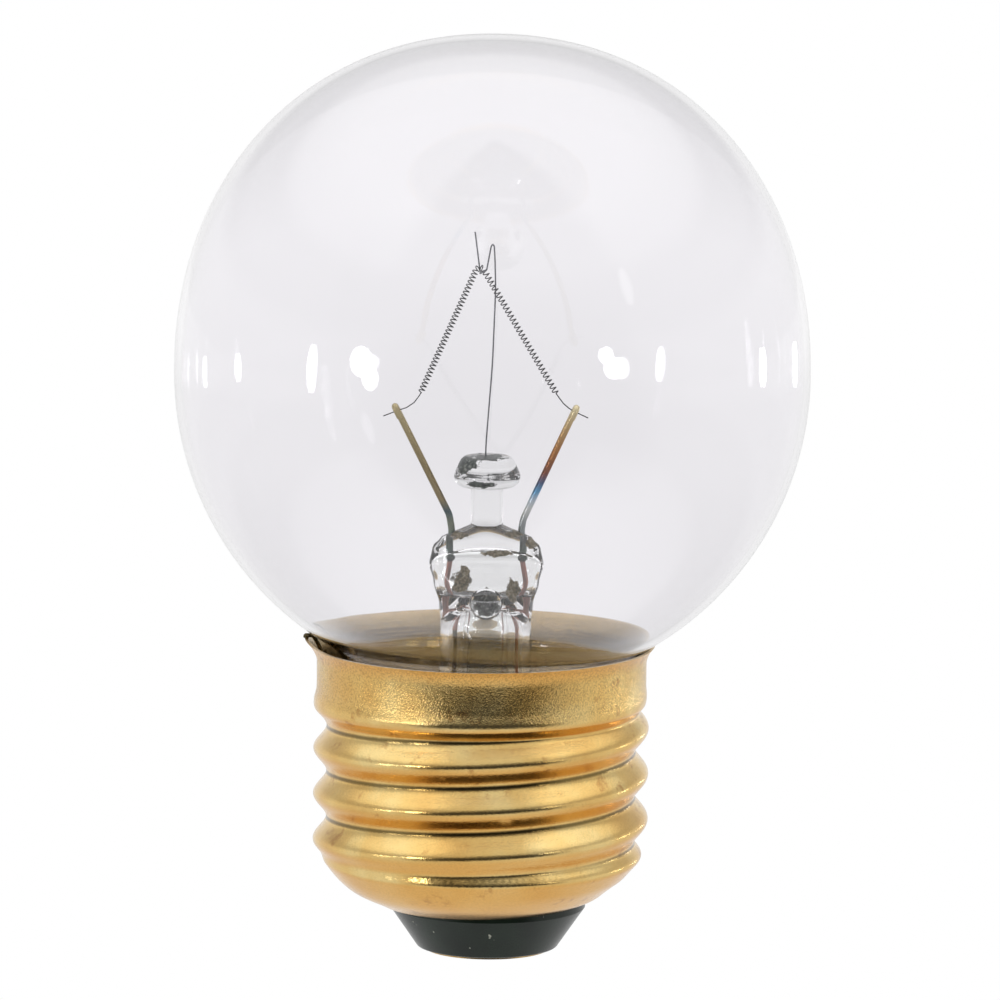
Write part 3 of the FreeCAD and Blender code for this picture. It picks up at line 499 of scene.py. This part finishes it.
def stem_outline():
    """Skin of the flare, press, cane and button, from the bottom outside to the top of the button."""
    elbow = (TUBE_RADIUS + FLARE_BEND, SEAL_LEVEL + FLARE_WALL + FLARE_BEND)
    points = [(INNER_NECK, SEAL_LEVEL + 0.1), (INNER_NECK, SEAL_LEVEL + FLARE_WALL)]
    points += arc_points(elbow, FLARE_BEND, 270, 180, 12)
    points += [(TUBE_RADIUS, TUBE_TOP - 4.0), (TUBE_RADIUS, TUBE_TOP - 2.0)]
    height = PRESS_TOP - TUBE_TOP
    points += [(between(PRESS_WIDTH, k / PRESS_STEPS), TUBE_TOP + height * k / PRESS_STEPS)
               for k in range(PRESS_STEPS + 1)]
    points += [(CANE_RADIUS, PRESS_TOP + 0.35), (CANE_RADIUS, PRESS_TOP + 1.2), (CANE_RADIUS, BUTTON_BASE - 0.3)]
    points += [(1.34, BUTTON_BASE), (1.85, BUTTON_BASE + 0.03), (2.2, BUTTON_BASE + 0.12),
               (2.46, BUTTON_BASE + 0.36), (2.59, BUTTON_BASE + 0.64), (2.62, BUTTON_BASE + 0.92),
               (2.54, BUTTON_BASE + 1.2), (2.38, BUTTON_BASE + 1.55), (2.22, BUTTON_BASE + 1.9),
               (2.06, BUTTON_BASE + 2.2), (1.85, BUTTON_TOP - 0.05), (1.6, BUTTON_TOP), (0.8, BUTTON_TOP),
               (0.0, BUTTON_TOP)]
    return points


def cavity_outline():
    """Skin of the flare's bore up to its domed roof, the underside of the press."""
    elbow = (TUBE_RADIUS + FLARE_BEND, SEAL_LEVEL + FLARE_WALL + FLARE_BEND)
    points = [(INNER_NECK, SEAL_LEVEL + 0.1), (INNER_NECK - 0.2, SEAL_LEVEL)]
    points += arc_points(elbow, FLARE_BEND + FLARE_WALL, 270, 180, 12)
    points += [(TUBE_BORE, TUBE_TOP - 3.0), (TUBE_BORE, TUBE_TOP - 1.0), (2.82, TUBE_TOP - 0.3),
               (2.66, TUBE_TOP + 0.3), (2.42, TUBE_TOP + 0.8), (2.1, TUBE_TOP + 1.2), (1.6, TUBE_TOP + 1.5),
               (0.8, TUBE_TOP + 1.65), (0.0, TUBE_TOP + 1.68)]
    return points


def hollow_outline():
    """Skin of the flat hollow that stays open in the press, from its sagging floor to its domed roof."""
    height = PRESS_TOP - TUBE_TOP
    floor, brow = TUBE_TOP + height * HOLLOW_FLOOR, TUBE_TOP + height * HOLLOW_BROW
    quarter = [math.radians(9 * k) for k in range(11)]
    wide = between(HOLLOW_WIDTH, HOLLOW_FLOOR)
    points = [(wide * math.sin(a), floor - HOLLOW_SAG * math.cos(a)) for a in quarter]
    shares = [HOLLOW_FLOOR + (HOLLOW_BROW - HOLLOW_FLOOR) * k / 8 for k in range(1, 9)]
    points += [(between(HOLLOW_WIDTH, share), TUBE_TOP + height * share) for share in shares]
    wide = points[-1][0]
    points += [(wide * math.cos(a), brow + HOLLOW_DOME * math.sin(a)) for a in quarter[1:]]
    return [(0.0, points[0][1])] + points[1:-1] + [(0.0, points[-1][1])]


def flatten_press(shape, widths, depths):
    """Pinches a turned skin into the press's wide flat form, which fades out over the cane's foot."""
    for vert in shape.verts:
        share = (vert.co.z / MM - TUBE_TOP) / (PRESS_TOP - TUBE_TOP)
        if 0.0 < share:
            squeeze = between(depths, min(share, 1.0)) / between(widths, min(share, 1.0))
            if share >= 1.0:
                squeeze += (1 - squeeze) * between([(1.0, 0.0), (1.12, 1.0)], share)
            vert.co.y *= squeeze


def make_stem_glass(material):
    """Flare, press, exhaust tube, cane and button as one melted piece of glass."""
    outer = turned(stem_outline(), STEM_STEPS, STEM_SHIFT)
    bore = turned(cavity_outline(), STEM_STEPS, STEM_SHIFT)
    flatten_press(outer, PRESS_WIDTH, PRESS_DEPTH)
    # the two open skins meet along the foot's rim and close into one wall
    wall = bmesh.new()
    for name, skin in (("skin", outer), ("bore", bore)):
        half = mesh_of(name, skin)
        wall.from_mesh(half)
        bpy.data.meshes.remove(half)
    bmesh.ops.remove_doubles(wall, verts=wall.verts[:], dist=0.002 * MM)
    bmesh.ops.recalc_face_normals(wall, faces=wall.faces[:])
    stem = loose("stem", wall)
    hollow = turned(hollow_outline(), STEM_STEPS, STEM_SHIFT)
    flatten_press(hollow, HOLLOW_WIDTH, HOLLOW_DEPTH)
    with_boolean(stem, loose("hollow", hollow), "DIFFERENCE")

    # the blown hole in the front of the press, then the exhaust tube that stands in it, and the tube's bore
    hole = bmesh.new()
    bmesh.ops.create_cone(hole, cap_ends=True, segments=48, radius1=HOLE_RADIUS * MM, radius2=HOLE_RADIUS * MM,
                          depth=HOLE_DEPTH * MM)
    bmesh.ops.rotate(hole, verts=hole.verts[:], cent=(0, 0, 0), matrix=Matrix.Rotation(math.radians(90), 3, "X"))
    bmesh.ops.scale(hole, verts=hole.verts[:], vec=HOLE_STRETCH)
    bmesh.ops.translate(hole, verts=hole.verts[:], vec=(STEM_SHIFT * MM, HOLE_FRONT * MM, EXHAUST_TOP * MM))
    with_boolean(stem, loose("hole", hole), "DIFFERENCE")
    shoulder = EXHAUST_TIP + EXHAUST_RADIUS
    tube = [(0.0, EXHAUST_TIP)] + arc_points((0, shoulder), EXHAUST_RADIUS, 270, 360, 8)[1:]
    tube += [(EXHAUST_RADIUS, EXHAUST_TOP - 6), (EXHAUST_RADIUS, EXHAUST_TOP), (0.0, EXHAUST_TOP)]
    with_boolean(stem, loose("tube", turned(tube, EXHAUST_STEPS, STEM_SHIFT)), "UNION")
    inner = [(0.0, shoulder), (EXHAUST_BORE, shoulder + EXHAUST_BORE), (EXHAUST_BORE, EXHAUST_TOP - 4),
             (EXHAUST_BORE, EXHAUST_TOP + 0.5)]
    inner += arc_points((0, EXHAUST_TOP + 0.5), EXHAUST_BORE, 0, 90, 8)[1:-1]
    inner.append((0.0, EXHAUST_TOP + 0.5 + EXHAUST_BORE))
    with_boolean(stem, loose("tube_bore", turned(inner, EXHAUST_STEPS, STEM_SHIFT)), "DIFFERENCE")
    mesh = stem.data.copy()
    bpy.data.objects.remove(stem)
    piece = finished("stem_glass", mesh, material, "stem_glass", "glass_stem", "exhaust_tube", "arbor_rod")
    mesh.set_sharp_from_angle(angle=math.radians(50))
    return piece


def coil_line():
    """Centre and direction of the coil at each station, up the left leg, round the bend and down."""
    left, right, corner = (Vector((x, 0, z)) for x, z in (COIL_FEET["left"], COIL_FEET["right"], COIL_CORNER))
    up, down = (corner - left).normalized(), (right - corner).normalized()
    turn = up.angle(down)
    setback = COIL_BEND * math.tan(turn / 2)
    start = (corner - left).length - setback
    end = start + COIL_BEND * turn
    length = end + (right - corner).length - setback
    side = Vector((up.z, 0, -up.x))
    line, stop = [], 0.0
    while stop < length:
        if stop < start:
            line.append((left + up * stop, up))
        elif stop > end:
            line.append((corner + down * (setback + stop - end), down))
        else:
            swung = (stop - start) / COIL_BEND
            way = up * math.cos(swung) + side * math.sin(swung)
            middle = corner - up * setback + side * COIL_BEND
            line.append((middle - Vector((way.z, 0, -way.x)) * COIL_BEND, way))
        stop += COIL_PITCH["left" if stop < (start + end) / 2 else "right"] / STATIONS
    return line


def make_filament(material):
    """Tungsten wire wound in a coil over two straight legs, the right one drawn out more, with its tails."""
    line = coil_line()
    points = []
    for k, (centre, way) in enumerate(line):
        angle = -math.tau * k / STATIONS
        reach = COIL_RADIUS * min(1.0, 2 * k / STATIONS, 2 * (len(line) - 1 - k) / STATIONS)
        outward = Vector((way.z, 0, -way.x)) * math.cos(angle) + Vector((0, 1, 0)) * math.sin(angle)
        points.append(centre + outward * reach)
    foot = COIL_FEET["left"][1]
    tails = {side: [Vector((x, -TAIL_FORWARD * max(0.0, min(1.0, (foot - z) / TAIL_DROP)), z))
                    for x, z in TAILS[side]] for side in TAILS}
    path = tails["left"] + points + tails["right"][::-1]
    curve = bpy.data.curves.new("filament_line", "CURVE")
    curve.dimensions = "3D"
    curve.bevel_depth = WIRE_RADIUS * MM
    curve.bevel_resolution = 1
    curve.resolution_u = 1
    curve.use_fill_caps = True
    spline = curve.splines.new("NURBS")
    spline.points.add(len(path) - 1)
    for point, place in zip(spline.points, path):
        point.co = (place.x * MM, place.y * MM, place.z * MM, 1.0)
    spline.order_u = 3
    spline.use_endpoint_u = True
    wire = bpy.data.objects.new("filament_line", curve)
    bpy.context.collection.objects.link(wire)
    bpy.context.view_layer.update()
    mesh = bpy.data.meshes.new_from_object(wire.evaluated_get(bpy.context.evaluated_depsgraph_get()))
    bpy.data.objects.remove(wire)
    return finished("filament_coil", mesh, material, "tungsten", "filament")


def paint_nodes():
    """Every carried-over CAD node gets its finish."""
    finishes = {
        # molybdenum, drawn: mid grey, hardly tinted
        "support_wire": wire_material("molybdenum_wire", SUPPORT_TINTS, 39.0, 58.0, 0.35),
        # nickel-iron, drawn and bent hot: grey-green in the glass, then straw on the left; silver, blue and
        # brown, then straw on the right
        "inner_lead_left": wire_material("nickel_lead_left", LEFT_LEAD_TINTS, 32.0, 43.5, 0.3),
        "inner_lead_right": wire_material("nickel_lead_right", RIGHT_LEAD_TINTS, 32.0, 43.5, 0.3),
        # copper-clad wire melted into the press: pale red oxide, with a dark weld at its top
        "seal_wire_left": wire_material("copper_seal_left", SEAL_TINTS, 25.5, 32.5, 0.4),
        "seal_wire_right": wire_material("copper_seal_right", SEAL_TINTS, 25.5, 32.5, 0.4),
        # bare drawn copper: orange-brown, turning dark towards its top at the joint on the rim
        "outer_lead_side": wire_material("copper_side", SIDE_LEAD_TINTS, 12, 25, 0.4),
        "outer_lead_centre": wire_material("copper_centre", CENTRE_LEAD_TINTS, 0, 27, 0.35),
        "screw_shell": brass_material("rolled_brass"),
        "base_insulator": insulator_material("black_pressed_glass"),
        # stamped brass: plain gold with faint clouds of half a millimetre
        "contact_eyelet": mottled_material("eyelet_brass", "#A88446", "#CDAA66", 2.0, 0.3, 1.0, 0.05),
        # tin solder, run and frozen: dull grey and lumpy over 0.7 mm
        "centre_solder": mottled_material("tin_solder", "#85857F", "#B5B5AE", 1.5, 0.38, 1.0, 0.2),
        # the joint at the rim, burnt with flux: dark brown crumbs of 0.3 mm
        "side_solder": mottled_material("tin_solder_bead", "#3A3626", "#6E6248", 3.0, 0.4, 1.0, 0.3),
        # baked basing cement: matt tan with grains of 0.8 mm
        "basing_cement": mottled_material("basing_cement", "#8F7F5C", "#B7A67E", 1.2, 0.9, 0.0, 0.5),
    }
    for name, material in finishes.items():
        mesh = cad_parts[name].data
        mesh.materials.clear()
        mesh.materials.append(material)


def make_camera():
    """The photograph's view, from a little above and rolled a little."""
    camera = bpy.data.cameras.new("camera")
    camera.lens = LENS
    camera.sensor_width = SENSOR_WIDTH
    camera.clip_start, camera.clip_end = 0.01, 10.0
    eye = bpy.data.objects.new("camera", camera)
    bpy.context.collection.objects.link(eye)
    tilt, aim = math.radians(CAMERA_ELEVATION), Vector(CAMERA_AIM) * MM
    away = Vector((0, -math.cos(tilt), math.sin(tilt)))
    eye.location = aim + away * CAMERA_DISTANCE * MM
    turn = away.to_track_quat("Z", "Y").to_matrix().to_4x4()
    roll = Matrix.Rotation(math.radians(CAMERA_ROLL), 4, "Z")
    eye.rotation_euler = (turn @ roll).to_euler()
    bpy.context.scene.camera = eye


def make_world():
    """White behind the lamp, pale at its sides and overhead, dim only round the camera."""
    world = bpy.data.worlds.new("studio")
    bpy.context.scene.world = world
    world.use_nodes = True
    tree = world.node_tree
    tree.nodes.clear()
    direction = add(tree, "ShaderNodeTexCoord").outputs["Generated"]
    raised = add(tree, "ShaderNodeVectorMath", {0: direction, 1: (1, 1, DIM_FLATNESS),
                                                2: (0, 0, -DIM_SLOPE * DIM_FLATNESS)}, operation="MULTIPLY_ADD")
    way = add(tree, "ShaderNodeVectorMath", {0: raised.outputs[0]}, operation="NORMALIZE")
    facing = add(tree, "ShaderNodeVectorMath", {0: way.outputs[0], 1: DIM_SIDE}, operation="DOT_PRODUCT")
    near = add(tree, "ShaderNodeMapRange", {"Value": facing.outputs["Value"], "From Min": -1.0, "From Max": 1.0})
    walls = add(tree, "ShaderNodeValToRGB", {"Fac": near.outputs[0]}, stops=WALL_TONES)

    up = add(tree, "ShaderNodeSeparateXYZ", {0: direction}).outputs["Z"]
    height = add(tree, "ShaderNodeMapRange", {"Value": up, "From Min": -1.0, "From Max": 1.0}).outputs[0]
    overhead = add(tree, "ShaderNodeValToRGB", {"Fac": height}, stops=CEILING_TONES)
    flat = add(tree, "ShaderNodeVectorMath", {0: direction, 1: (1, 1, 0)}, operation="MULTIPLY")
    level = add(tree, "ShaderNodeVectorMath", {0: flat.outputs[0]}, operation="NORMALIZE")
    ahead = add(tree, "ShaderNodeVectorMath", {0: level.outputs[0], 1: DIM_SIDE}, operation="DOT_PRODUCT")
    shade = add(tree, "ShaderNodeMapRange", {"Value": ahead.outputs["Value"], **FRONT_CEILING})
    ceiling = add(tree, "ShaderNodeVectorMath", {0: overhead.outputs["Color"], "Scale": shade.outputs[0]},
                  operation="SCALE")
    light = add(tree, "ShaderNodeMix", {"Factor": 1.0, "A": walls.outputs["Color"], "B": ceiling.outputs[0]},
                data_type="RGBA", blend_type="LIGHTEN")
    band = add(tree, "ShaderNodeValToRGB", {"Fac": height}, stops=BAND_TONES)
    banded = add(tree, "ShaderNodeMix", {"Factor": 1.0, "A": light.outputs["Result"],
                                         "B": band.outputs["Color"]}, data_type="RGBA", blend_type="MULTIPLY")

    path = add(tree, "ShaderNodeLightPath")
    through = add(tree, "ShaderNodeMix", {"Factor": path.outputs["Is Transmission Ray"],
                                          "A": banded.outputs["Result"], "B": DIM_THROUGH_GLASS},
                  data_type="RGBA", blend_type="LIGHTEN")
    seen = add(tree, "ShaderNodeMix", {"Factor": path.outputs["Is Camera Ray"], "A": through.outputs["Result"],
                                       "B": (1, 1, 1, 1)}, data_type="RGBA")
    shine = add(tree, "ShaderNodeBackground", {"Color": seen.outputs["Result"], "Strength": 1.0})
    add(tree, "ShaderNodeOutputWorld", {"Surface": shine.outputs[0]})


def make_lamps():
    """Soft oval lamps at their bearings, turned to face the globe."""
    for name, (bearing, elevation, width, height, radiance) in LAMPS.items():
        light = bpy.data.lights.new(name, "AREA")
        light.shape = "ELLIPSE"
        light.size, light.size_y = width * MM, height * MM
        light.energy = radiance * math.pi * width * height * MM * MM * math.pi / 4
        lamp = bpy.data.objects.new(name, light)
        bpy.context.collection.objects.link(lamp)
        b, e = math.radians(bearing), math.radians(elevation)
        away = Vector((math.sin(b) * math.cos(e), -math.cos(b) * math.cos(e), math.sin(e)))
        lamp.location = Vector((0, 0, EQUATOR_LEVEL * MM)) + away * LAMP_DISTANCE * MM
        lamp.rotation_euler = away.to_track_quat("Z", "Y").to_euler()


def make_floor():
    """A plain floor well below the lamp, which is held in the air. The eye sees it white and the lamps light
    it as matt grey; in brass and glass it falls off towards the dim side, as the studio does."""
    shape = bmesh.new()
    bmesh.ops.create_grid(shape, x_segments=1, y_segments=1, size=FLOOR_HALF_WIDTH * MM)
    bmesh.ops.translate(shape, verts=shape.verts[:], vec=(0, 0, FLOOR_LEVEL * MM))
    floor = loose("floor", shape)
    material = bpy.data.materials.new("floor")
    material.use_nodes = True
    tree = material.node_tree
    tree.nodes.clear()
    path = add(tree, "ShaderNodeLightPath")
    place = add(tree, "ShaderNodeTexCoord").outputs["Object"]
    flat = add(tree, "ShaderNodeVectorMath", {0: place, 1: (1.0, 1.0, 0.0)}, operation="MULTIPLY").outputs[0]
    away = add(tree, "ShaderNodeVectorMath", {0: flat}, operation="LENGTH").outputs["Value"]
    way = add(tree, "ShaderNodeVectorMath", {0: flat}, operation="NORMALIZE").outputs[0]
    facing = add(tree, "ShaderNodeVectorMath", {0: way, 1: DIM_SIDE}, operation="DOT_PRODUCT").outputs["Value"]
    near = add(tree, "ShaderNodeMapRange", {"Value": facing, "From Min": -1.0, "From Max": 1.0}).outputs[0]
    walls = add(tree, "ShaderNodeValToRGB", {"Fac": near}, stops=WALL_TONES)
    far = add(tree, "ShaderNodeMapRange", {"Value": away, **FLOOR_RING}, interpolation_type="SMOOTHSTEP")
    lift = add(tree, "ShaderNodeMapRange", {"Value": away, **FLOOR_LIFT})
    under = add(tree, "ShaderNodeMix", {"Factor": path.outputs["Is Transmission Ray"], "A": linear(NEAR_FLOOR),
                                        "B": linear(NEAR_FLOOR_IN_GLASS)}, data_type="RGBA")
    beyond = add(tree, "ShaderNodeMix", {"Factor": path.outputs["Is Transmission Ray"],
                                         "A": walls.outputs["Color"], "B": DIM_THROUGH_GLASS},
                 data_type="RGBA", blend_type="LIGHTEN")
    tone = add(tree, "ShaderNodeMix", {"Factor": far.outputs[0], "A": under.outputs["Result"],
                                       "B": beyond.outputs["Result"]}, data_type="RGBA")
    matt = add(tree, "ShaderNodeBsdfDiffuse", {"Color": linear("#B8B8B8")})
    shown = add(tree, "ShaderNodeEmission", {"Color": tone.outputs["Result"], "Strength": lift.outputs[0]})
    white = add(tree, "ShaderNodeEmission", {"Color": (1, 1, 1, 1), "Strength": 1.0})
    clear = add(tree, "ShaderNodeMath", {0: path.outputs["Is Glossy Ray"], 1: path.outputs["Is Transmission Ray"]},
                operation="MAXIMUM")
    mirrored = add(tree, "ShaderNodeMixShader", {0: clear.outputs[0], 1: matt.outputs[0], 2: shown.outputs[0]})
    mixed = add(tree, "ShaderNodeMixShader", {0: path.outputs["Is Camera Ray"], 1: mirrored.outputs[0],
                                              2: white.outputs[0]})
    add(tree, "ShaderNodeOutputMaterial", {"Surface": mixed.outputs[0]})
    floor.data.materials.append(material)


paint_nodes()
make_globe(globe_glass_material("soda_lime_globe"))
make_stem_glass(stem_glass_material("drawn_stem_glass"))
# tungsten, drawn and wound: dark grey, a little glossy
make_filament(wire_material("tungsten_wire", TUNGSTEN_TINTS, 43.0, 56.0, 0.4))
make_camera()
make_world()
make_lamps()
make_floor()
bpy.context.scene.view_settings.view_transform = "Standard"
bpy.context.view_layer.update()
# clear glass inside clear glass needs many bounces
cycles = bpy.context.scene.cycles
cycles.max_bounces, cycles.transmission_bounces, cycles.glossy_bounces = 24, 24, 8
